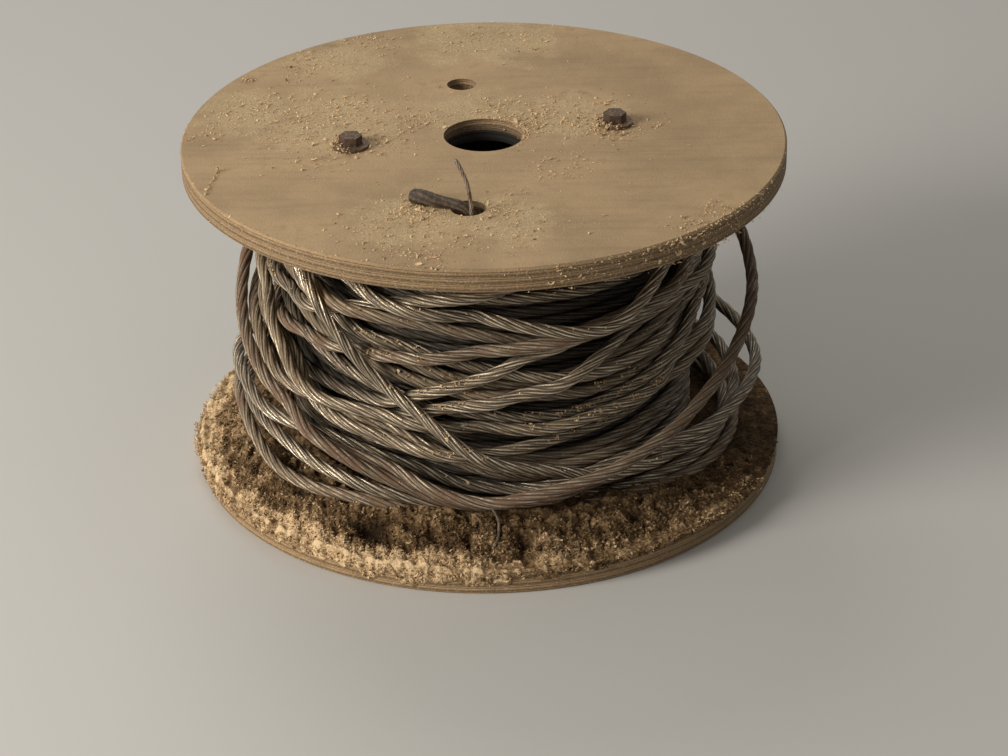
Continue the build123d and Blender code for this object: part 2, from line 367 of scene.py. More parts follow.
def wire_rope_material(look):
    """Greasy steel strands: wires as streaks along them, worn crests with a painted highlight, rust and dust
    on top, and painted shade in the valleys, on the right side and on the deep inner layers.
    """
    desk = new_desk("greasy_wire_rope")
    uv = desk.node("ShaderNodeUVMap", uv_map="along_and_round")
    along = desk.part(uv, 0)
    round_axis = desk.line(along, -TAU * MM / look.lay_length, desk.part(uv, 1))
    places = {0: desk.times(along, 0.16 * MM), 1: desk.times(round_axis, 10 * MM)}
    streak = desk.noise(2.0, 4.0, 0.7, desk.node("ShaderNodeCombineXYZ", places))
    wires = desk.line(desk.maths("COSINE", desk.times(round_axis, 12.0)), -0.10, streak)
    crown = desk.value_of("crown")
    patches = desk.noise(11.0, 4.0)
    streaks = desk.noise(2.0)
    colour = desk.blend(desk.between(wires, 0.38, 0.62), shade(look.steel, 0.28), shade(look.steel, 1.7))
    # Painted highlight: thin pale lines along the strand crests, stronger on turns with more polish, which
    # also stands for worn steel.
    crest_highlight = desk.times(desk.between(crown, 0.25, 0.8), desk.between(wires, 0.53, 0.64))
    rubbed_and_highlit = desk.line(desk.value_of("polish_and_highlight"), 0.75, 0.25)
    polish_and_highlight = desk.times(crest_highlight, desk.times(rubbed_and_highlit, desk.between(patches, 0.30, 0.50)))
    colour = desk.blend(polish_and_highlight, colour, look.bright)
    rust = desk.between(desk.line(desk.value_of("rust"), 0.55, patches), 0.60, 0.95)
    rust = desk.times(rust, desk.between(streaks, 0.25, 0.5))
    colour = desk.blend(rust, colour, desk.blend(streaks, shade(look.rust, 0.55), shade(look.rust, 1.7)))
    # Painted shade, with grime: the valleys between the strands go nearly black.
    colour = desk.blend(desk.between(crown, 0.02, 0.6), shade(look.steel, 0.11), colour)
    dust = desk.times(desk.value_of("dust"), desk.between(desk.facing_up(), -0.5, 0.7))
    dust = desk.line(dust, 0.6, desk.times(desk.noise(14.0, 2.0), 0.3))
    dust = desk.line(desk.noise(1.6, 5.0, 0.7), 0.6, dust)
    dust = desk.times(desk.between(dust, 0.68, 0.92), 0.62)
    colour = desk.blend(dust, colour, look.dust)
    # Painted shade on the rope's right side: towards +X its colour goes half way to dark brown.
    grease = desk.times(desk.between(desk.axis(0), 0.01, 0.12), 0.52)
    colour = desk.blend(grease, colour, (0.038, 0.026, 0.011))
    # Painted shade on the deep inner layers: the rope goes nearly black within 95 mm of the axis, fading out
    # by 109 mm.
    clear_of_painted_shade = desk.between(desk.distance(), 0.095, 0.109)
    colour = desk.blend(clear_of_painted_shade, desk.blend(0.88, colour, (0.010, 0.008, 0.006)), colour)
    cover = desk.maths("MAXIMUM", rust, dust)
    metal = desk.line(cover, -0.55, desk.line(polish_and_highlight, 0.35, 0.60))
    rough = desk.line(cover, 0.45, desk.line(polish_and_highlight, -0.16, 0.42))
    normal = desk.bump(desk.noise(0.9), 0.16, 0.6, desk.bump(wires, 0.55))
    return desk.finish(colour, rough, normal, metal)


# Zones of the flanges under a film of fine dust, as x, y and spread.
DUSTY_ZONES = (
    (-80, 20, 42), (-118, 30, 30), (-34, -96, 32), (14, -98, 26), (42, 20, 30), (0, 128, 44), (-75, 100, 30),
    (-4, 22, 34),
)


def plywood_material(name, look, base, pale):
    """Dusty veneer with blots and scratches, and on the rim the plies one above another, with painted shade
    on the rim's right side and low in the bore.
    """
    desk = new_desk(name)
    blots = desk.noise(55.0, 5.0, 0.6)
    spots = desk.noise(7.0, 4.0, 0.65)
    grain = desk.noise(60.0, 6.0, 0.7, desk.stretched((1.0, 14.0, 14.0)))
    fine = desk.noise(0.9)
    face = desk.blend(desk.between(blots, 0.3, 0.7), shade(look.face, 0.78), shade(look.face, 1.10))
    face = desk.blend(desk.times(desk.between(grain, 0.45, 0.8), 0.35), face, look.grime)
    stain = desk.between(desk.line(blots, 0.55, desk.times(spots, 0.45)), 0.55, 0.72)
    face = desk.blend(desk.times(stain, 0.55), face, look.grime)
    near = 0.0
    for x, y, spread in DUSTY_ZONES:
        zone = desk.between(desk.distance(x, y), 1.5 * spread * MM, 0.4 * spread * MM)
        near = desk.maths("MAXIMUM", near, zone)
    film = desk.line(desk.noise(16.0, 4.0, 0.65), 1.1, -0.25)
    film = desk.between(desk.line(near, 0.42, film), 0.42, 0.78)
    face = desk.blend(desk.times(film, 0.55), face, (0.52, 0.385, 0.21))
    powder = desk.times(desk.between(fine, 0.5, 0.66), desk.line(film, 0.7, 0.12))
    face = desk.blend(powder, face, (0.70, 0.53, 0.31))

    height = desk.axis(2)
    waver = desk.line(desk.noise(24.0, vector=desk.stretched((1.0, 1.0, 4.0))), 0.9 * MM, height)
    two_plies = 2 * (TOP - CEILING) / PLY_COUNT * MM
    level = desk.maths("DIVIDE", desk.maths("SUBTRACT", waver, (base + 0.45) * MM), two_plies)
    crossed = desk.maths("PINGPONG", desk.times(desk.maths("FRACT", level), 2.0), 1.0)
    crossed = desk.between(crossed, 0.38, 0.62)
    glue = desk.maths("SUBTRACT", desk.maths("FRACT", desk.times(level, 2.0)), 0.5)
    glue = desk.between(desk.maths("ABSOLUTE", glue), 0.40, 0.5)
    fibres = desk.noise(3.0, 5.0, 0.7, desk.stretched((1.0, 1.0, 7.0)))
    edge = desk.blend(crossed, shade(look.edge, 1.2 * pale), shade(look.edge, 0.66 * pale))
    edge = desk.blend(desk.between(fibres, 0.35, 0.65), desk.blend(0.5, edge, look.grime), edge)
    edge = desk.blend(desk.times(glue, 0.9), edge, shade(look.edge, 0.16))
    edge = desk.blend(desk.between(spots, 0.52, 0.8), edge, shade(look.grime, 0.8))
    edge = desk.blend(desk.times(desk.between(fine, 0.52, 0.66), 0.4), edge, (0.62, 0.46, 0.27))
    # Painted shade on the rim's right side: towards +X its colour goes half way to dark brown.
    painted_rim_shade_on_right = desk.between(desk.axis(0), 0.03, 0.14)
    edge = desk.blend(painted_rim_shade_on_right, edge, desk.blend(0.5, edge, (0.10, 0.068, 0.032)))
    # Painted shade low in the bore: its wall goes nearly black below 4 to 9.5 mm over the plywood's
    # underside.
    bore_zone_of_painted_shade = desk.between(desk.distance(), 0.0215, 0.0203)
    deep = desk.times(bore_zone_of_painted_shade, desk.between(height, (base + 9.5) * MM, (base + 4.0) * MM))
    edge = desk.blend(deep, edge, (0.012, 0.009, 0.006))

    level_face = desk.between(desk.maths("ABSOLUTE", desk.facing_up()), 0.55, 0.85)
    on_rim = desk.maths("SUBTRACT", 1.0, level_face)
    normal = desk.bump(glue, -0.3, on_rim, desk.bump(crossed, 0.25, on_rim))
    normal = desk.bump(fine, 0.35, 0.6, desk.bump(grain, 0.25, 0.5, normal))
    return desk.finish(desk.blend(level_face, edge, face), 0.82, normal)


def board_material():
    """Brown wound board of the barrel."""
    desk = new_desk("barrel_board")
    fibres = desk.noise(12.0, 5.0, vector=desk.stretched((6.0, 6.0, 1.0)))
    colour = desk.blend(fibres, (0.06, 0.040, 0.024), (0.13, 0.088, 0.055))
    return desk.finish(colour, 0.9, desk.bump(fibres, 0.3))


def rusty_steel_material(name, dark, warm):
    """Old rust in blooms and pits."""
    desk = new_desk(name)
    blooms = desk.noise(3.5, 5.0, 0.7)
    pits = desk.noise(0.7)
    colour = desk.blend(desk.between(blooms, 0.3, 0.7), dark, warm)
    dusty = desk.times(desk.between(desk.facing_up(), 0.3, 0.9), desk.between(pits, 0.5, 0.66))
    colour = desk.blend(desk.times(dusty, 0.6), colour, (0.42, 0.30, 0.17))
    normal = desk.bump(pits, 0.3, 0.8, desk.bump(blooms, 0.4))
    return desk.finish(colour, desk.line(blooms, 0.3, 0.5), normal, 0.35)


def zinc_material():
    """Dull zinc with a faint spangle."""
    desk = new_desk("dull_zinc")
    colour = desk.blend(desk.cells(3.0), (0.36, 0.36, 0.35), (0.52, 0.52, 0.50))
    return desk.finish(colour, 0.5, desk.bump(desk.noise(1.5), 0.05), 0.85)


def seized_rope_material():
    """Rope end gone dark and hard with old grease and rust, with painted shade in the valleys between its
    strands.
    """
    desk = new_desk("seized_rope_end")
    crust = desk.noise(2.4, 5.0, 0.65)
    flecks = desk.noise(0.8)
    colour = desk.blend(desk.between(crust, 0.3, 0.72), (0.024, 0.015, 0.009), (0.150, 0.095, 0.055))
    # Painted shade: the valleys between the strands go most of the way to black.
    valley = desk.blend(0.6, colour, (0.012, 0.008, 0.006))
    colour = desk.blend(desk.between(desk.value_of("crown"), 0.0, 0.5), valley, colour)
    dusty = desk.times(desk.between(desk.facing_up(), 0.3, 0.9), desk.between(flecks, 0.58, 0.72))
    colour = desk.blend(desk.times(dusty, 0.7), colour, (0.40, 0.28, 0.16))
    normal = desk.bump(flecks, 0.25, 0.7, desk.bump(crust, 0.5))
    return desk.finish(colour, desk.line(crust, 0.30, 0.52), normal, 0.05)


def loose_strand_material():
    """Brown strand, worn to pale metal on its crowns."""
    desk = new_desk("loose_strand_steel")
    worn = desk.between(desk.value_of("crown"), 0.1, 0.9)
    worn = desk.times(worn, desk.between(desk.noise(2.5), 0.30, 0.55))
    colour = desk.blend(worn, (0.095, 0.058, 0.036), (0.50, 0.41, 0.31))
    return desk.finish(colour, 0.5, desk.bump(desk.noise(0.6), 0.12), 0.45)


def sawdust_material(name, look):
    """Sawdust from dark to fresh by the tone of each place; low tones are old, damp sawdust and painted
    shade.
    """
    desk = new_desk(name)
    specks = desk.noise(1.5, roughness=0.6)
    tone = desk.maths("ADD", desk.value_of("tone"), desk.line(specks, 1.5, -0.75))
    tone = desk.maths("ADD", tone, desk.line(desk.noise(5.0), 0.4, -0.20))
    # Tones below 0, in the hollows and creases and on the right of the heap, go nearly to black: painted
    # shade.
    deep = desk.blend(desk.between(tone, -0.45, 0.05), shade(look.old, 0.22), look.old)
    mild = desk.blend(desk.between(tone, 0.0, 0.55), deep, (0.30, 0.195, 0.10))
    colour = desk.blend(desk.between(tone, 0.45, 1.0), mild, look.fresh)
    return desk.finish(colour, 0.95, desk.bump(specks, 0.9, 0.9), specular=0.15)


def spread_turns():
    """Azimuth, height and least radius at every step along the whole rope, and its look.

    The heights at the stations are joined by cubic curves whose slopes are the mean slopes at each
    station. At the back the height goes evenly from one turn's last station to the next one's first, and
    half way towards the place that the turn has where all of them are spread evenly in the same order.
    """
    rng = np.random.default_rng(41)
    levels = np.array([row[0] for row in TURNS], float)
    following = np.append(levels[1:, 0], levels[-1, 0])
    share = (BACK_STATIONS - STATIONS[-1]) / (360 - STATIONS[-1] + STATIONS[0])
    back = levels[:, -1:] + (following - levels[:, -1])[:, None] * share
    back += rng.uniform(-5, 5, back.shape)
    order = back.argsort(0).argsort(0)
    inset = 6
    back = 0.5 * back + 0.5 * (DECK + inset + order * (CEILING - DECK - 2 * inset) / (len(TURNS) - 1))
    every = np.concatenate([STATIONS, BACK_STATIONS])
    azimuths = np.concatenate([LEAD_IN[:, 0]] + [every + 360 * index for index in range(len(TURNS))])
    heights = np.concatenate([LEAD_IN[:, 1], np.hstack([levels, back]).ravel()])
    slopes = np.gradient(heights, azimuths)
    azimuth = np.arange(azimuths[0], azimuths[-1], STEP)
    at = np.clip(np.searchsorted(azimuths, azimuth, side="right") - 1, 0, len(azimuths) - 2)
    gap = azimuths[at + 1] - azimuths[at]
    t = (azimuth - azimuths[at]) / gap
    height = cubic(t, heights[at], gap * slopes[at], heights[at + 1], gap * slopes[at + 1])
    level = np.zeros(len(azimuth))
    height += 1.1 * smooth_noise(azimuth, level, 23.0, 5) + 0.5 * smooth_noise(azimuth, level, 9.0, 6)
    stand = np.zeros(len(azimuth))
    flush = 106
    for index, (_, _, _, _, radii) in enumerate(TURNS):
        if radii:
            known = [radii.get(int(station), 0) for station in STATIONS]
            known = [min(known[0], flush), *known, min(known[-1], flush)]
            part = np.interp(azimuth - 360 * index, [-155, *STATIONS, 155], known, left=0, right=0)
            stand = np.maximum(stand, part)
    turn = np.clip((azimuth + 180) / 360, 0, len(TURNS) - 1)
    looks = {
        title: np.interp(turn, np.arange(len(TURNS)) + 0.5, [row[column] for row in TURNS])
        for column, title in ((1, "rust"), (2, "dust"), (3, "polish_and_highlight"))
    }
    inset = 4.3
    return azimuth, np.clip(height, DECK + inset, CEILING - inset), stand, looks


def drape_turns(azimuth, height, stand, rope_radius, coil_surface):
    """Radius of the rope's centre at each step, turn upon turn, and the surface that it leaves.

    Under each step the rope rests on the highest place of the surface below its round section. It
    leaves that place at no more than a slope of 0.6 mm a degree, because it is stiff, and bridges the rest.
    Where it stands off the others, it carries none of those that are wound later.
    """
    levels = np.arange(DECK, CEILING, STEP)
    surface = np.full((COLUMNS, len(levels)), coil_surface)
    radius = np.full(len(azimuth), coil_surface + rope_radius)
    a_degree_out = 110 * np.radians(1.0)
    starts = np.arange(-azimuth[0] / STEP, len(azimuth), COLUMNS).astype(int)
    for start, stop in zip([0, *starts], [*starts, len(azimuth)]):
        part = slice(start, stop)
        column = np.round((azimuth[part] % 360) / STEP).astype(int) % COLUMNS
        lean = np.gradient(height[part]) / STEP / a_degree_out
        across = (levels[None, :] - height[part][:, None]) / np.sqrt(1 + lean**2)[:, None]
        section = np.sqrt(np.maximum(rope_radius**2 - across**2, 0))
        under = np.abs(across) < rope_radius
        need = np.where(under, surface[column] + section, 0).max(1)
        free = blur((stand[part] > need + rope_radius).astype(float), 12.0) > 0.01
        need = np.maximum(need, stand[part])
        if start:
            need[0] = max(need[0], radius[start - 1])
        fall = np.arange(len(need)) * 0.6 * STEP
        forward = np.maximum.accumulate(need + fall) - fall
        backward = np.maximum.accumulate((need - fall)[::-1])[::-1] + fall
        draped = blur(np.maximum(forward, backward), 4.0)
        radius[part] = blur(np.maximum(draped, need - 0.8), 3.0)
        bulge = np.where(under & ~free[:, None], radius[part][:, None] + section, 0)
        np.maximum.at(surface, column, bulge)
    return blur(radius, 3.0), surface


def distance_along(path):
    """Distance from the start of a path to each of its points."""
    return np.concatenate([[0], np.cumsum(np.linalg.norm(np.diff(path, axis=0), axis=1))])


def strand_tube(path, outward, rope_radius, lay, samples, floor=0.73):
    """Six-strand rope along a path: points, faces with end caps, uv and how near a crown each point is.

    Round each ring the radius is that of six touching circles, rc cos(a) + sqrt(rs^2 - rc^2 sin^2(a)) for
    the angle a from the strand's middle, but no less than the filled valley, whose floor is a share of the
    rope's radius. The ring turns once per lay. The rope's radius may differ from ring to ring.
    """
    along = distance_along(path)
    tangent = np.gradient(path, axis=0)
    tangent /= np.linalg.norm(tangent, axis=1)[:, None]
    normal = outward - (outward * tangent).sum(1)[:, None] * tangent
    normal /= np.linalg.norm(normal, axis=1)[:, None]
    side = np.cross(tangent, normal)
    rows, columns = len(path), 6 * samples
    angle = np.arange(columns) * TAU / columns
    from_middle = (angle + np.pi / 6) % (TAU / 6) - np.pi / 6
    centre, strand = 2 / 3, 1 / 3
    profile = centre * np.cos(from_middle)
    profile += np.sqrt(np.maximum(strand**2 - (centre * np.sin(from_middle)) ** 2, 0))
    profile = np.maximum(profile, floor)
    twist = TAU * along / lay
    turn = angle[None, :] + twist[:, None]
    size = (rope_radius + 0 * along)[:, None] * profile[None, :]
    points = (
        path[:, None, :]
        + (size * np.cos(turn))[..., None] * normal[:, None, :]
        + (size * np.sin(turn))[..., None] * side[:, None, :]
    )
    points = np.concatenate([points.reshape(-1, 3), path[[0, -1]]])
    around, last = np.arange(columns), (rows - 1) * columns
    following = (around + 1) % columns
    caps = np.concatenate([
        np.stack([np.full(columns, rows * columns), following, around], -1),
        np.stack([np.full(columns, rows * columns + 1), last + around, last + following], -1),
    ])
    row, column = np.meshgrid(np.arange(rows - 1), np.arange(columns), indexing="ij")
    uv = [
        np.stack([along[r], c * TAU / columns + twist[r]], -1)
        for r, c in ((row, column), (row, column + 1), (row + 1, column + 1), (row + 1, column))
    ]
    uv = np.concatenate([np.stack(uv, 2).reshape(-1, 2), np.zeros((6 * columns, 2))])
    crown = np.concatenate([np.tile((profile - floor) / (1 - floor), rows), [0, 0]])
    return points, [ring_faces(rows, columns), caps], uv, crown


def even_steps(path, step):
    """Positions along a path, in samples, that lie this many millimetres apart."""
    along = distance_along(path)
    count = int(along[-1] / step) + 1
    return np.interp(np.linspace(0, along[-1], count), along, np.arange(len(path)))


def at_positions(values, positions):
    """Values of a row, or of a row of points, at positions between its samples."""
    index = np.arange(len(values))
    if values.ndim == 1:
        return np.interp(positions, index, values)
    return np.stack([np.interp(positions, index, values[:, k]) for k in range(values.shape[1])], -1)


def around_drum(azimuth, radius, height):
    """Points at azimuths in degrees, measured from the -Y side towards +X."""
    angle = np.radians(azimuth)
    return np.stack([radius * np.sin(angle), -radius * np.cos(angle), height + 0 * angle], -1)


def outward_of(path):
    """Level directions away from the drum's axis."""
    outward = path * [1, 1, 0]
    return outward / np.maximum(np.linalg.norm(outward, axis=1), 1e-6)[:, None]


def rope_piece(name, path, looks, settings, material, samples):
    """One length of the wound rope as a piece, with its look at every point."""
    points, faces, uv, crown = strand_tube(
        path, outward_of(path), settings.diameter / MM / 2, settings.lay_length / MM, samples
    )
    attributes = {"crown": crown}
    for title, values in looks.items():
        attributes[title] = np.concatenate([np.repeat(values, 6 * samples), values[[0, -1]]])
    new_piece(name, new_mesh(name, points, faces, attributes, uv), material, WOUND_NODES)


class WindRope(bpy.types.Operator):
    """Wind the rope round the barrel: a neat coil below and loose, crossing turns over it"""

    bl_idname = "cable_drum.wind_rope"
    bl_label = "Wind the rope"

    def execute(self, context):
        rope = context.scene.drum_rope
        radius, coil = rope.diameter / MM / 2, rope.coil_radius / MM
        material = wire_rope_material(rope)
        azimuth, height, stand, looks = spread_turns()
        draped, surface = drape_turns(azimuth, height, stand, radius, coil + radius)
        context.scene["rope_surface"] = surface.ravel().tolist()
        path = around_drum(azimuth, draped, height)
        positions = even_steps(path, 2.8)
        cuts = np.linspace(0, len(positions) - 1, 4).astype(int)
        names = ("rope_middle_turns", "rope_outer_turns", "rope_last_turns")
        for name, first, last in zip(names, cuts[:-1], cuts[1:]):
            part = positions[first:last + 1]
            look = {title: at_positions(values, part) for title, values in looks.items()}
            rope_piece(name, at_positions(path, part), look, rope, material, 5)
        path = self.coil_path(radius, coil)
        even = {"rust": 0.35, "dust": 0.25, "polish_and_highlight": 0.2}
        look = {title: np.full(len(path), value) for title, value in even.items()}
        rope_piece("rope_inner_coil", path, look, rope, material, 4)
        return {"FINISHED"}

    def coil_path(self, radius, coil):
        """Path that widens from the barrel under the upper flange, then goes down turn by turn."""
        innermost, spread = 80, 2.1
        low, high = DECK + radius + 0.3, CEILING - radius - 0.3
        turns = (high - low) / (2 * radius + 0.2)
        angle = np.arange(LEAD_IN[0, 0] - 360 * (spread + turns), LEAD_IN[0, 0], 1.5)
        widened = np.clip((angle - angle[0]) / (360 * spread), 0, 1)
        fallen = np.clip((angle - angle[0] - 360 * spread) / (360 * turns), 0, 1)
        distance = innermost + (coil - innermost) * widened + 0.5 * smooth_noise(angle, 0 * angle, 40.0, 9)
        path = around_drum(angle, distance, high - (high - low) * fallen)
        return at_positions(path, even_steps(path, 4.2))


def smooth_path(knots, step):
    """Points this far apart on the curve through the knots whose direction at each knot is from the one
    before to the one after."""
    knots = np.array(knots, float)
    slopes = np.gradient(knots, axis=0)
    t = np.linspace(0, 1, 24, endpoint=False)[None, :, None]
    spans = cubic(t, knots[:-1, None], slopes[:-1, None], knots[1:, None], slopes[1:, None])
    path = np.concatenate([spans.reshape(-1, 3), knots[-1:]])
    return at_positions(path, even_steps(path, step))


class LayRopeEnd(bpy.types.Operator):
    """Bend the rope's inner end out of its hole and flat onto the upper flange"""

    bl_idname = "cable_drum.lay_rope_end"
    bl_label = "Lay the rope's end"

    def execute(self, context):
        rest = TOP + 3.4
        path = smooth_path([
            (9.0, -84.5, CEILING - 4.3), (1.5, -85.8, CEILING - 3.2), (-3.4, -86.2, CEILING + 2.0),
            (-5.4, -86.3, CEILING + 8.0), (-9.0, -85.8, rest - 2.8), (-14.5, -84.8, rest - 1.1),
            (-21.0, -83.0, rest - 0.5), (-28.0, -80.4, rest + 0.2), (-34.6, -77.6, rest + 0.4),
        ], 0.9)
        length, samples = 58.0, 6
        from_tip = np.linspace(1, 0, len(path)) * length
        thickness = ((0, 2.8), (1.2, 3.5), (6, 3.8), (13, 3.5), (20, 2.8), (28, 2.7), (40, 2.9), (58, 3.2))
        radius = np.interp(from_tip, *np.transpose(thickness))
        radius += 0.22 * rough_noise(from_tip, 0 * from_tip, 5.0, 61)
        up = np.tile([0.0, 0.3, 1.0], (len(path), 1))
        points, faces, uv, crown = strand_tube(path, up, radius, 95.0, samples, floor=0.88)
        rough = rough_noise(points[:, 0] + points[:, 2], points[:, 1], 2.2, 62)
        heart = np.concatenate([np.repeat(path, 6 * samples, 0), path[[0, -1]]])
        points = heart + (points - heart) * (1 + 0.12 * rough)[:, None]
        mesh = new_mesh("rope_bent_end", points, faces, {"crown": crown}, uv)
        new_piece("rope_bent_end", mesh, seized_rope_material(), ("rope_inner_end",))
        return {"FINISHED"}


class RaiseStrand(bpy.types.Operator):
    """Raise the strand that has sprung loose beside the rope's end, and drop a scrap of wire in the heap"""

    bl_idname = "cable_drum.raise_strand"
    bl_label = "Raise the loose strand"

    def execute(self, context):
        knots = [
            (-5.9, -90.4, CEILING + 1.0), (-5.8, -90.4, TOP - 2.0), (-6.0, -90.3, TOP + 4.0),
            (-6.8, -90.0, TOP + 10.0), (-8.1, -89.5, TOP + 16.0), (-10.3, -88.8, TOP + 21.5),
            (-13.0, -87.9, STRAND_TIP - 0.9),
        ]
        material = loose_strand_material()
        self.twist("sprung_strand", knots, 1.05, material, ("loose_strand",))
        scrap = [(-4.5, -109.5), (0.4, -109.2), (3.3, -113.2), (4.7, -119.7), (4.2, -128.0), (2.2, -134.4)]
        x, y = np.transpose(scrap)
        heap = heap_height(np.degrees(np.arctan2(x, -y)), np.hypot(x, y))
        knots = np.column_stack([x, y, DECK + heap + [2.4, 2.2, 1.6, 1.2, 1.0, 0.6]])
        self.twist("wire_scrap", knots, 0.75, material)
        return {"FINISHED"}

    def twist(self, name, knots, thick, material, replaced=()):
        """A twisted strand through the knots, a little thicker below its tip."""
        path = smooth_path(knots, 0.5)
        from_tip = np.linspace(1, 0, len(path))
        radius = thick * np.interp(from_tip, [0, 0.03, 0.2, 1.0], [0.8, 1.08, 1.0, 0.95])
        outward = np.tile([0.0, -1.0, 0.1], (len(path), 1))
        points, faces, uv, crown = strand_tube(path, outward, radius, 19.0, 4, floor=0.86)
        new_piece(name, new_mesh(name, points, faces, {"crown": crown}, uv), material, replaced)


# Where the heap starts under the rope and where it meets the rim, as distances from the axis.
HEAP_START = 99
HEAP_EDGE = FLANGE_RADIUS - 1.4

# By azimuth: the heap's height at the winding, how far it hangs over the rim, its tone at the rim
# and by the winding, and the distance from the axis at which the rim's tone starts.
HEAP_HEIGHTS = (
    (-180, 3.0), (-140, 4.0), (-110, 8.0), (-85, 11.5), (-60, 13.0), (-35, 12.5), (-10, 10.5), (15, 9.0),
    (40, 7.5), (62, 4.6), (80, 1.4), (100, 1.2), (140, 1.8), (180, 3.0),
)
SKIRT_DEPTHS = (
    (-180, 1.2), (-115, 2.0), (-98, 9.0), (-70, 9.0), (-55, 6.5), (-30, 6.5), (-5, 7.5), (8, 6.5), (22, 3.6),
    (40, 2.4), (55, 3.2), (70, 2.0), (85, 1.0), (180, 1.2),
)
# Low rim and inner tones on the right, towards +X, are painted shade: they make the thin sawdust layer there
# a dark sheet.
RIM_TONES = (
    (-180, 0.35), (-120, 0.50), (-100, 0.78), (-60, 0.74), (-35, 0.80), (-12, 0.78), (5, 0.58), (25, 0.38),
    (50, 0.34), (62, 0.10), (80, -0.10), (180, 0.20),
)
INNER_TONES = (
    (-180, 0.14), (-110, 0.22), (-60, 0.22), (-40, 0.14), (40, 0.14), (60, 0.04), (75, -0.12), (180, 0.10),
)
RIM_TONE_STARTS = (
    (-180, 132), (-100, 136.5), (-75, 138.5), (-60, 140.5), (-45, 136.5), (-36, 132.5), (-28, 141),
    (-20, 138.5), (-10, 136.5), (0, 138), (15, 140), (30, 139), (180, 132),
)

# Hollows in the heap, as azimuth, distance from the axis, depth and width.
HOLLOWS = (
    (-27, 129, 11.0, 7.0), (-22, 134, 5.0, 5.0), (8, 131, 4.0, 5.0), (-62, 130, 5.0, 4.0),
    (-47, 127, 4.0, 3.5), (-12, 128, 5.0, 3.0), (-5, 130, 4.0, 2.6), (16, 127, 4.0, 3.6),
    (33, 128, 4.0, 4.0), (-38, 136, 3.0, 3.0),
)

# How far the noises over the flanges are moved away from their lattice's corner.
SHIFT = 500


def hollow_depth(x, y):
    """Depth of the hollows on the lower flange: bell-shaped dips, and pits where a noise is high."""
    depth = 2.0 * np.clip((smooth_noise(x + SHIFT, y + SHIFT, 5.0, 73) - 0.45) / 0.3, 0, 1)
    for at, distance, deep, width in HOLLOWS:
        turn = np.radians(at)
        apart = np.hypot(x - distance * np.sin(turn), y + distance * np.cos(turn))
        depth = depth + deep * np.exp(-((apart / width) ** 2))
    return depth


def folds(x, y, large, small, seed):
    """Two noises folded at 0, the second half as strong, so the creases are sharp and the tops are round."""
    return np.abs(smooth_noise(x, y, large, seed)) + 0.5 * np.abs(smooth_noise(x, y, small, seed + 1))


def clumps(x, y):
    """Height of the clumps of sawdust, which is a little below 0 in their creases."""
    return 2.4 * folds(x + SHIFT, y + SHIFT, 6.5, 2.9, 75) - 1.3


def heap_height(azimuth, radius):
    """Height of the sawdust over the lower flange.

    The height at each azimuth falls from the winding to the rim along a smooth step. Waves and clumps
    are added, and the hollows are taken away.
    """
    base = by_azimuth(HEAP_HEIGHTS, azimuth)
    height = base * (1 - 0.83 * smooth_step(np.clip((radius - 117) / 31, 0, 1)))
    angle = np.radians(azimuth)
    x, y = radius * np.sin(angle), -radius * np.cos(angle)
    share = np.clip(base / 8, 0.08, 1)
    waves = 1.9 * rough_noise(x + SHIFT, y + SHIFT, 17.0, 71, 2)
    height = height + share * (waves + clumps(x, y) - hollow_depth(x, y))
    return np.maximum(height, 0.25 + 0.15 * share)


def heap_tone_and_shade(azimuth, radius, places):
    """Tone of the sawdust: below 0 in the hollows, low by the winding, near 1 at the left and front. A high
    tone is fresh sawdust; the dark right side, the hollows and the creases of the clumps are painted shade.
    """
    x, y = places[..., 0], places[..., 1]
    inner = by_azimuth(INNER_TONES, azimuth) + 0.22 * rough_noise(x + SHIFT, y + SHIFT, 9.0, 87, 3)
    wave = 4.5 * rough_noise(x + SHIFT, y + SHIFT, 15.0, 83, 3)
    near = np.clip((radius + wave - by_azimuth(RIM_TONE_STARTS, azimuth)) / 4.5, 0, 1)
    tone = inner + (by_azimuth(RIM_TONES, azimuth) - inner) * near
    # Painted shade: lower tone in the creases of the clumps and in the hollows, higher on the clumps' tops.
    return tone + 0.16 * clumps(x, y) - 0.08 * hollow_depth(x, y)


def skirt_depth(azimuth):
    """How far the sawdust hangs down over the rim of the lower flange, with a ragged hem."""
    arc = ((azimuth + 180) % 360 - 180) * TAU * FLANGE_RADIUS / 360 + 600
    ragged = 0.9 + 0.25 * smooth_noise(arc, 0 * arc, 9.0, 91) + 0.30 * smooth_noise(arc, 0 * arc, 1.9, 92)
    return by_azimuth(SKIRT_DEPTHS, azimuth) * np.clip(ragged, 0.15, 1.6)


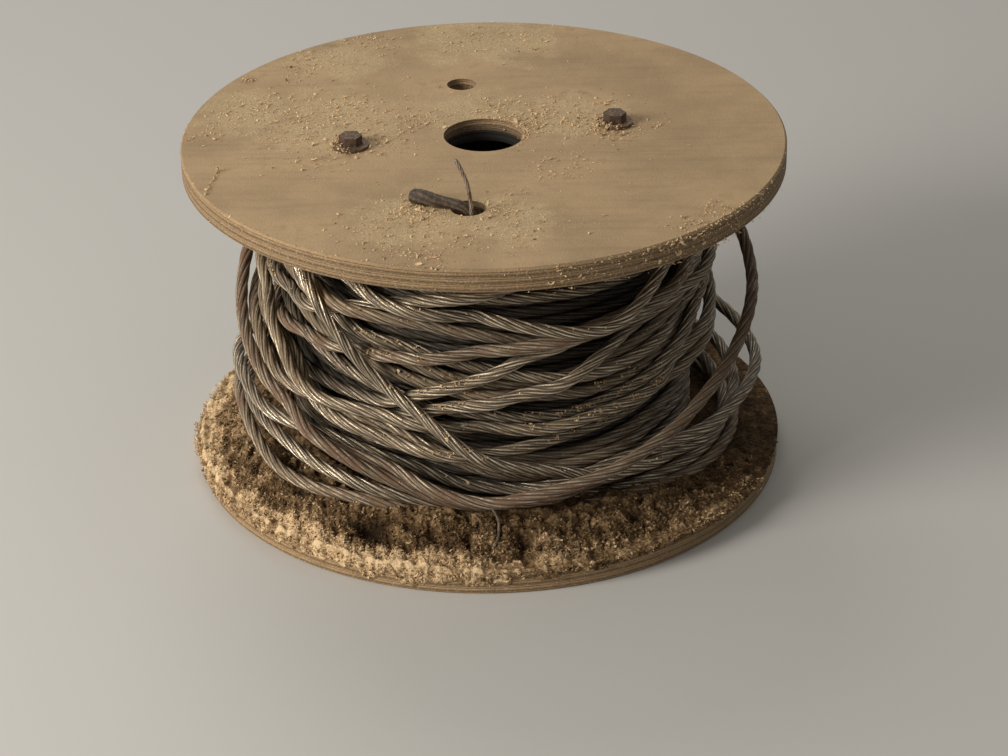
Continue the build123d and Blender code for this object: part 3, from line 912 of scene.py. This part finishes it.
class HeapSawdust(bpy.types.Operator):
    """Heap old sawdust on the lower flange, against the winding, out to the rim and down over it"""

    bl_idname = "cable_drum.heap_sawdust"
    bl_label = "Heap the sawdust"

    def execute(self, context):
        rows, columns, levels = 1240, 60, 12
        azimuth = np.arange(rows)[:, None] * 360.0 / rows + np.zeros((1, columns))
        radius = HEAP_START + (HEAP_EDGE - HEAP_START) * (np.arange(columns) / (columns - 1))[None, :] ** 0.9
        height = heap_height(azimuth, radius)
        top = around_drum(azimuth, radius, DECK + height)
        side = azimuth[:, :1] + np.zeros((1, levels))
        down = (np.arange(levels) + 1)[None, :] / levels + np.zeros((rows, 1))
        depth = skirt_depth(side) * down
        lump = folds(np.radians(side) * FLANGE_RADIUS, depth + 60, 3.4, 1.6, 93)
        out = smooth_step(np.clip(3.2 * down, 0, 1))
        swell = 0.9 * lump * np.clip(skirt_depth(side) / 5, 0.3, 1) * (1 - down) ** 0.4
        fall = DECK + height[:, -1:] * (1 - out) - depth * down**0.3
        skirt = around_drum(side, HEAP_EDGE + out * (1.55 + swell), fall)
        back = np.tile([FLANGE_RADIUS - 1.5, HEAP_START], (rows, 1))
        low = np.column_stack([DECK - depth[:, -1], np.full(rows, DECK - 0.9)])
        points = np.concatenate([top, skirt, around_drum(azimuth[:, :2], back, low)], 1)
        tone = heap_tone_and_shade(azimuth, radius, top)
        # The hem's tone falls by up to a quarter towards its lower edge, and is higher on its lumps and lower
        # between them: painted shade in the creases.
        hanging = tone[:, -1:] * (1 - 0.25 * down) + 0.6 * (lump - 0.55)
        tone = np.concatenate([tone, hanging, hanging[:, -1:], tone[:, :1]], 1)
        faces = ring_faces(rows, points.shape[1], closed=True)
        mesh = new_mesh("sawdust_heap", points.reshape(-1, 3), [faces], {"tone": tone.ravel()})
        material = sawdust_material("heaped_sawdust", context.scene.drum_sawdust)
        new_piece("sawdust_heap", mesh, material)
        return {"FINISHED"}


def random_turns(rng, count, flatness):
    """Rotation matrices with a random heading and a tilt whose spread falls as flatness rises to 1."""
    heading = rng.uniform(0, TAU, count)
    tilt = rng.normal(0, 1.2 * (1 - flatness) + 0.12, count)
    roll = rng.normal(0, 1.6 * (1 - flatness) + 0.15, count)
    a, b, c = np.cos(heading), np.sin(heading), np.zeros(count)
    ones = np.ones(count)
    spin = np.stack([a, -b, c, b, a, c, c, c, ones], -1).reshape(-1, 3, 3)
    a, b = np.cos(tilt), np.sin(tilt)
    lift = np.stack([a, c, b, c, ones, c, -b, c, a], -1).reshape(-1, 3, 3)
    a, b = np.cos(roll), np.sin(roll)
    bank = np.stack([ones, c, c, c, a, -b, c, b, a], -1).reshape(-1, 3, 3)
    return spin @ lift @ bank


def grains(rng, places, sizes, flatness):
    """Small chips: eight-sided double pyramids of three different widths, turned at random."""
    corners = np.array([[1, 0, 0], [0, 1, 0], [-1, 0, 0], [0, -1, 0], [0, 0, 1], [0, 0, -1]], float)
    faces = [[0, 1, 4], [1, 2, 4], [2, 3, 4], [3, 0, 4], [1, 0, 5], [2, 1, 5], [3, 2, 5], [0, 3, 5]]
    count = len(places)
    widths = [rng.uniform(low, high, count) for low, high in ((0.5, 1.1), (0.3, 0.7), (0.14, 0.4))]
    shapes = corners[None] * (sizes[:, None] * np.stack(widths, -1))[:, None]
    shapes = shapes + rng.uniform(-0.12, 0.12, (count, 6, 3)) * sizes[:, None, None]
    return turned_copies(rng, shapes, places, flatness, np.array(faces))


def curls(rng, places, lengths, flatness):
    """Curled shavings: a thin flat section of four corners carried along an arc, with closed ends."""
    count, sections = len(places), 5
    along = np.linspace(-0.5, 0.5, sections)[None, :]
    bend = rng.uniform(0.6, 3.6, count)[:, None]
    angle = along * bend
    arm = lengths[:, None] / bend
    middle = np.stack([arm * np.sin(angle), 0 * angle, arm * (1 - np.cos(angle))], -1)
    middle[..., 1] += along * rng.uniform(-0.5, 0.5, count)[:, None] * lengths[:, None]
    outward = np.stack([-np.sin(angle), 0 * angle, np.cos(angle)], -1)
    width = (lengths * rng.uniform(0.10, 0.26, count))[:, None, None] * (1 - 1.6 * along**2)[..., None]
    across = width * [0.0, 1.0, 0.0]
    out = (0.07 + 0.035 * lengths)[:, None, None] * outward
    left, right = middle - across, middle + across
    shapes = np.stack([left - out, right - out, right + out, left + out], 2)
    last = 4 * (sections - 1)
    ends = [[0, 1, 2, 3], [last + 3, last + 2, last + 1, last]]
    faces = np.concatenate([ring_faces(sections, 4)[:, [0, 3, 2, 1]], ends])
    return turned_copies(rng, shapes.reshape(count, -1, 3), places, flatness, faces)


def turned_copies(rng, shapes, places, flatness, faces):
    """Points and faces of many small shapes with the same faces, each turned at random in its place."""
    points = np.einsum("nij,nkj->nki", random_turns(rng, len(shapes), flatness), shapes) + places[:, None]
    first = shapes.shape[1] * np.arange(len(shapes))
    return points.reshape(-1, 3), (faces[None] + first[:, None, None]).reshape(-1, faces.shape[1])


def loose_piece(name, rng, places, sizes, long_places, lengths, tones, long_tones, material, flatness):
    """One piece of many grains and curls, with a tone for each of them."""
    points, faces = grains(rng, places, sizes, flatness)
    more, long_faces = curls(rng, long_places, lengths, flatness)
    tone = np.concatenate([np.repeat(tones, 6), np.repeat(long_tones, 20)])
    mesh = new_mesh(
        name, np.concatenate([points, more]), [faces, long_faces + len(points)], {"tone": tone}, smooth=False
    )
    new_piece(name, mesh, material)


# Places on the upper flange where dust and shavings have gathered, as x, y, spread and share.
DUST_PATCHES = np.array([
    (-84, 28, 15, 9), (-70, 38, 12, 5), (-118, 37, 12, 6), (-138, 6, 7, 3), (-98, 4, 11, 4), (-50, -6, 9, 6),
    (-40, 22, 12, 5), (-27, 17, 8, 4), (-84, -27, 10, 3), (-33, -88, 7, 6), (-24, -90, 6, 4), (6, -86, 8, 5),
    (-46, -110, 15, 8), (-10, -116, 15, 6), (-30, -134, 9, 4), (25, 5, 6, 6), (17, 17, 7, 4), (50, 14, 8, 7),
    (60, 1, 8, 5), (78, 12, 7, 3), (37, -38, 9, 5), (4, 34, 9, 4), (34, 34, 10, 4), (61, 37, 7, 2),
    (-10, 126, 14, 4), (24, 119, 10, 3), (-60, 123, 10, 4), (-93, 90, 11, 5), (97, -108, 7, 3),
    (114, -92, 6, 4), (20, -104, 14, 3), (0, 0, 75, 5),
], float)

# Holes and hardware on the upper flange that loose sawdust keeps clear of, as x, y and radius.
OPEN_PLACES = (
    (0.0, 0.0, 20.2), (-11.3, 64.2, 7.8), (-7.4, -84.7, 8.8), (65.5, 11.6, 5.8), (-65.5, -11.6, 5.8),
)

# Places on the rope where sawdust is caught between crossing turns, as azimuth, height and spread.
CATCHING_PLACES = (
    (-30, 110, 10), (-19, 96, 10), (-66, 68, 14), (-56, 58, 10), (-8, 62, 9), (14, 72, 8), (26, 62, 14),
    (38, 72, 14), (-78, 116, 9), (-44, 140, 8), (-12, 84, 9), (-4, 92, 8),
)

# Small heaps by the lower flange's right rim, as x and y.
HEAPLETS = np.array([(128.6, -66.1), (122.4, -80.7), (106.4, -104.1), (127.0, -71.0)])

# Azimuths about which the heap's loose grains lie, with their shares, and about which grains hang on its rim.
GRAIN_AZIMUTHS = (-150, -120, -92, -75, -58, -42, -26, -10, 6, 22, 38, 54, 68, 90, 150)
GRAIN_SHARES = np.array([2, 4, 7, 9, 11, 13, 14, 13, 12, 11, 9, 7, 4, 1, 2]) / 119
HANGING_AZIMUTHS = (-92, -78, -62, -46, -30, -14, 2, 18, 36, 56)


class ScatterSawdust(bpy.types.Operator):
    """Scatter grains and shavings over the heap, the upper flange and the rope"""

    bl_idname = "cable_drum.scatter_sawdust"
    bl_label = "Scatter the sawdust"

    def execute(self, context):
        dust = context.scene.drum_sawdust
        material = sawdust_material("loose_sawdust", dust)
        self.cover_heap(dust, material)
        self.cover_top(dust, material)
        self.cover_rope(context.scene["rope_surface"], material)
        return {"FINISHED"}

    def cover_heap(self, dust, material):
        rng = np.random.default_rng(101)

        def lay(count, raised):
            azimuth = rng.choice(GRAIN_AZIMUTHS, count * 2, p=GRAIN_SHARES) + rng.normal(0, 8.0, count * 2)
            radius = rng.triangular(112, 144, FLANGE_RADIUS - 0.5, count * 2)
            height = heap_height(azimuth, radius)
            kept = np.flatnonzero((height > 1.0) | (rng.random(count * 2) < 0.12))[:count]
            azimuth, radius, height = azimuth[kept], radius[kept], height[kept]
            places = around_drum(azimuth, radius, DECK + height + raised)
            return places, heap_tone_and_shade(azimuth, radius, places) + rng.normal(0.06, 0.24, len(kept))

        def hang(count):
            azimuth = rng.choice(HANGING_AZIMUTHS, count) + rng.normal(0, 8, count)
            fall = rng.beta(1.0, 1.4, count) * (skirt_depth(azimuth) + 0.5)
            places = around_drum(azimuth, FLANGE_RADIUS + 0.5 + 0.9 * rng.random(count), DECK + 1.0 - fall)
            return places, heap_tone_and_shade(azimuth, HEAP_EDGE, places) + rng.normal(0.0, 0.18, count)

        places, tones = lay(dust.grain_count, 0.1)
        rim_places, rim_tones = hang(dust.grain_count // 5)
        crumb_count, heaplet_count = 240, 150
        side = rng.choice([-89, -80, -84, 49, 62], crumb_count)
        crumbs = around_drum(
            side + rng.normal(0, 1.0, crumb_count),
            FLANGE_RADIUS + 0.8 + np.minimum(rng.exponential(1.2, crumb_count), 2.4),
            DECK + rng.normal(-0.5, 1.5, crumb_count),
        )
        heaplets = HEAPLETS[rng.integers(0, len(HEAPLETS), heaplet_count)]
        heaplets = heaplets + rng.normal(0, 1.6, (heaplet_count, 2))
        heaplets = np.column_stack([heaplets, DECK + 0.7 + rng.exponential(0.5, heaplet_count)])
        places = np.concatenate([places, rim_places, crumbs, heaplets])
        # Crumbs on the right side, at positive azimuths, are darker: painted shade.
        crumb_tones = rng.normal(0.75, 0.2, crumb_count) - 0.25 * (side > 0)
        tones = np.concatenate([tones, rim_tones, crumb_tones, rng.normal(0.65, 0.25, heaplet_count)])
        long_places, long_tones = lay(dust.curl_count, 0.25)
        sizes = rng.lognormal(-0.18, 0.36, len(places))
        lengths = np.clip(rng.lognormal(0.50, 0.38, len(long_places)), 0.9, 4.2)
        loose_piece(
            "sawdust_on_heap", rng, places, sizes, long_places, lengths, tones, long_tones + 0.1,
            material, 0.7,
        )

    def cover_top(self, dust, material):
        rng = np.random.default_rng(103)

        def lay(count):
            patch = rng.choice(len(DUST_PATCHES), count * 2, p=DUST_PATCHES[:, 3] / DUST_PATCHES[:, 3].sum())
            x, y = (DUST_PATCHES[patch, :2] + rng.normal(0, 1, (count * 2, 2)) * DUST_PATCHES[patch, 2:3]).T
            free = np.hypot(x, y) < FLANGE_RADIUS - 0.6
            for hole_x, hole_y, hole_radius in OPEN_PLACES:
                free &= np.hypot(x - hole_x, y - hole_y) > hole_radius
            kept = np.flatnonzero(free)[:count]
            return np.column_stack([x[kept], y[kept], np.full(len(kept), TOP + 0.15)])

        places, long_places = lay(dust.top_count), lay(dust.top_count // 9)
        count = 420
        edge = rng.uniform(-100, 85, count)
        distance = FLANGE_RADIUS + rng.uniform(-1.5, 0.3, count)
        lip = around_drum(edge, distance, TOP - rng.exponential(2.2, count) + 0.2)
        wide, narrow = 400, 300
        clump = np.concatenate([rng.normal(42, 13, wide), rng.choice([14.0, 30.0, 36.0, 52.0, 61.0], narrow)])
        clump[wide:] += rng.normal(0, 1.1, narrow)
        distance = FLANGE_RADIUS + rng.uniform(-0.8, 1.0, wide + narrow)
        clump = around_drum(clump, distance, TOP - np.minimum(rng.exponential(5.0, wide + narrow), 12.5))
        left, right = 260, 200
        turn = np.concatenate([rng.normal(2.6, 0.9, left), rng.normal(3.6, 0.8, right)])
        out = rng.uniform(6.0, 11.0, left + right)
        bolt = np.repeat([-65.5, 65.5], [left, right])
        buried = np.column_stack([
            bolt + out * np.cos(turn), np.sign(bolt) * 11.6 + out * np.sin(turn),
            TOP + 0.2 + 1.5 * np.clip(11 - out, 0, 1) + rng.exponential(0.35, left + right),
        ])
        count = 260
        turn = rng.normal(0.45, 0.55, count)
        out = rng.uniform(19.7, 22.5, count)
        fallen = np.where(out < 20.2, rng.exponential(2.5, count), 0)
        bore = np.column_stack([out * np.cos(turn), out * np.sin(turn), TOP + 0.2 - fallen])
        share = np.concatenate([rng.random(60), rng.normal(0.03, 0.03, 50)])[:, None]
        splinter = np.array([[-128.9, -38.3]]) * (1 - share) + np.array([[-133.0, -66.5]]) * share
        splinter = np.concatenate([splinter, np.array([[-122.0, 72.5]]) + rng.normal(0, 1.6, (60, 2))])
        splinter = splinter + rng.normal(0, 0.45, splinter.shape)
        raised = np.concatenate([np.full(60, 0.5), rng.uniform(0.3, 3.0, 50), rng.uniform(0.2, 1.8, 60)])
        splinter = np.column_stack([splinter, TOP + raised])
        places = np.concatenate([places, lip, clump, buried, bore, splinter])
        count = 60
        edge = rng.normal(42, 12, count)
        distance = FLANGE_RADIUS + rng.uniform(-0.5, 1.2, count)
        long_lip = around_drum(edge, distance, TOP - rng.uniform(0, 11, count))
        long_places = np.concatenate([long_places + [0, 0, 0.3], long_lip])
        sizes = rng.lognormal(-0.60, 0.42, len(places))
        lengths = np.clip(rng.lognormal(0.45, 0.38, len(long_places)), 0.8, 4.0)
        loose_piece(
            "sawdust_on_top", rng, places, sizes, long_places, lengths, rng.normal(0.98, 0.22, len(places)),
            rng.normal(1.1, 0.2, len(long_places)), material, 0.75,
        )

    def cover_rope(self, surface, material):
        """Grains where the rope's surface slopes upward, most of them at the catching places."""
        rng = np.random.default_rng(107)
        surface = np.array(surface).reshape(COLUMNS, -1)
        column = rng.integers(0, COLUMNS, 60000)
        level = rng.integers(2, surface.shape[1] - 2, 60000)
        outward = surface[column, level]
        rise = surface[column, level + 1] - surface[column, level - 1]
        upward = (rise < -0.9) & (rise > -3.0) & (outward > surface[column, level + 2] + 0.5)
        azimuth, height = (column * STEP + 180) % 360 - 180, DECK + level * STEP
        near = np.zeros(len(column), bool)
        for middle, middle_height, spread in CATCHING_PLACES:
            near |= upward & (np.hypot((azimuth - middle) * 1.2, height - middle_height) < spread)
        lying, caught, long = 2200, 2000, 160
        held = np.resize(rng.permutation(np.flatnonzero(near)), caught)
        kept = np.concatenate([np.flatnonzero(upward)[:lying], held])
        places = around_drum(column[kept] * STEP, outward[kept] + 0.1, height[kept])
        places[lying:] += rng.normal(0, 0.7, (caught, 3))
        sizes = rng.lognormal(-0.75, 0.35, len(kept))
        sizes[lying:] *= 1.25
        tones = rng.normal(0.70, 0.28, len(kept))
        lengths = rng.uniform(0.8, 2.2, long)
        loose_piece(
            "sawdust_on_rope", rng, places[long:], sizes[long:], places[:long], lengths, tones[long:],
            tones[:long], material, 0.4,
        )


class FinishPlywood(bpy.types.Operator):
    """Give both flanges weathered plywood with its plies on the rim"""

    bl_idname = "cable_drum.finish_plywood"
    bl_label = "Finish the plywood"

    def execute(self, context):
        look = context.scene.drum_wood
        for node, base, pale in (("top_flange", CEILING, 1.0), ("bottom_flange", 0.0, 1.3)):
            repaint(node, plywood_material(f"plywood_of_{node}", look, base, pale))
        return {"FINISHED"}


class FinishHardware(bpy.types.Operator):
    """Give the barrel, bolts, washers and tee nuts their board, rust and zinc"""

    bl_idname = "cable_drum.finish_hardware"
    bl_label = "Finish barrel and hardware"

    def execute(self, context):
        repaint("barrel", board_material())
        bolt = rusty_steel_material("rusty_bolt", (0.035, 0.022, 0.016), (0.13, 0.076, 0.047))
        washer = rusty_steel_material("rusty_washer", (0.055, 0.035, 0.024), (0.20, 0.115, 0.065))
        zinc = zinc_material()
        for side in ("left", "right"):
            repaint(f"{side}_bolt", bolt)
            repaint(f"{side}_washer", washer)
            repaint(f"{side}_tee_nut", zinc)
        return {"FINISHED"}


def repaint(node, material):
    """Put a material on a node of the frame."""
    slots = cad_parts[node].data.materials
    slots.clear()
    slots.append(material)


class SetStage(bpy.types.Operator):
    """Set the camera at the photograph's angle, a pale floor and soft lamps"""

    bl_idname = "cable_drum.set_stage"
    bl_label = "Set the stage"

    def execute(self, context):
        stage = context.scene.drum_stage
        context.scene.camera = self.add_camera(context, stage.focal_length)
        self.add_floor(context)
        self.add_world(context)
        self.add_lamp(context, "left_lamp", (-1.42, -0.78, 0.80), 0.8, stage.lamp_power)
        self.add_lamp(context, "back_lamp", (-0.4, 1.2, 1.4), 1.0, 0.22 * stage.lamp_power)
        context.scene.view_settings.view_transform = "Standard"
        return {"FINISHED"}

    def add_camera(self, context, focal_length):
        """Camera that looks from its place at its target, turned a little about its line of sight."""
        position = Vector((8.217, -1364.704, 780.150)) * MM
        target = Vector((8.217, 0.0, 36.429)) * MM
        roll = np.radians(-0.869)
        forward = (target - position).normalized()
        level = Vector((1.0, 0.0, 0.0))
        upright = level.cross(forward)
        right = np.cos(roll) * level + np.sin(roll) * upright
        up = -np.sin(roll) * level + np.cos(roll) * upright
        camera = bpy.data.objects.new("camera", bpy.data.cameras.new("camera"))
        camera.data.lens = focal_length
        camera.data.sensor_width = 36.0
        turned = Matrix((right, up, -forward)).transposed().to_4x4()
        camera.matrix_world = Matrix.Translation(position) @ turned
        context.collection.objects.link(camera)
        return camera

    def add_floor(self, context):
        half = 3000.0
        corners = np.array([[-half, -half, 0], [half, -half, 0], [half, half, 0], [-half, half, 0]])
        mesh = new_mesh("floor", corners, [np.array([[0, 1, 2, 3]])], smooth=False)
        floor = bpy.data.objects.new("floor", mesh)
        context.collection.objects.link(floor)
        desk = new_desk("pale_floor")
        mesh.materials.append(desk.finish((0.56, 0.55, 0.525), 0.7, desk.bump(desk.noise(4.0), 0.02)))

    def add_world(self, context):
        """Soft grey light, and a paler grey where the background itself is seen."""
        context.scene.world = bpy.data.worlds.new("pale_room")
        desk = NodeDesk(context.scene.world)
        kinds = ("Is Camera Ray", "Is Glossy Ray", "Is Transmission Ray")
        direct, glossy, through = [desk.node("ShaderNodeLightPath", output=kind) for kind in kinds]
        seen = desk.maths("MAXIMUM", desk.maths("MAXIMUM", direct, glossy), through)
        grey = desk.blend(seen, (0.28, 0.272, 0.258), (0.52, 0.515, 0.50))
        desk.put(desk.tree.nodes["Background"].inputs["Color"], grey)

    def add_lamp(self, context, name, place, size, power):
        lamp = bpy.data.objects.new(name, bpy.data.lights.new(name, "AREA"))
        lamp.data.shape = "DISK"
        lamp.data.size = size
        lamp.data.energy = power
        lamp.data.color = (1.0, 0.955, 0.88)
        lamp.location = place
        lamp.rotation_euler = (Vector((0, 0, 0.08)) - Vector(place)).to_track_quat("-Z", "Y").to_euler()
        context.collection.objects.link(lamp)
class DrumPanel(bpy.types.Panel):
    """Settings and steps of the cable drum"""

    bl_idname = "VIEW3D_PT_cable_drum"
    bl_label = "Cable Drum"
    bl_space_type = "VIEW_3D"
    bl_region_type = "UI"
    bl_category = "Cable Drum"

    def draw(self, context):
        for name in SETTINGS:
            group = getattr(context.scene, name)
            box = self.layout.box()
            for title in group.bl_rna.properties.keys():
                if title not in ("rna_type", "name"):
                    box.prop(group, title)
        for operator in OPERATORS:
            self.layout.operator(operator.bl_idname)


SETTINGS = {
    "drum_rope": RopeSettings,
    "drum_wood": WoodSettings,
    "drum_sawdust": SawdustSettings,
    "drum_stage": StageSettings,
}
OPERATORS = (
    WindRope, LayRopeEnd, RaiseStrand, FinishPlywood, FinishHardware, HeapSawdust, ScatterSawdust, SetStage,
)


def register():
    for name, group in SETTINGS.items():
        bpy.utils.register_class(group)
        setattr(bpy.types.Scene, name, bpy.props.PointerProperty(type=group))
    for operator in OPERATORS:
        bpy.utils.register_class(operator)
    bpy.utils.register_class(DrumPanel)


def unregister():
    bpy.utils.unregister_class(DrumPanel)
    for operator in reversed(OPERATORS):
        bpy.utils.unregister_class(operator)
    for name, group in reversed(SETTINGS.items()):
        delattr(bpy.types.Scene, name)
        bpy.utils.unregister_class(group)


def main():
    register()
    bpy.ops.cable_drum.wind_rope()
    bpy.ops.cable_drum.lay_rope_end()
    bpy.ops.cable_drum.raise_strand()
    bpy.ops.cable_drum.finish_plywood()
    bpy.ops.cable_drum.finish_hardware()
    bpy.ops.cable_drum.heap_sawdust()
    bpy.ops.cable_drum.scatter_sawdust()
    bpy.ops.cable_drum.set_stage()


if __name__ == "__main__":
    main()
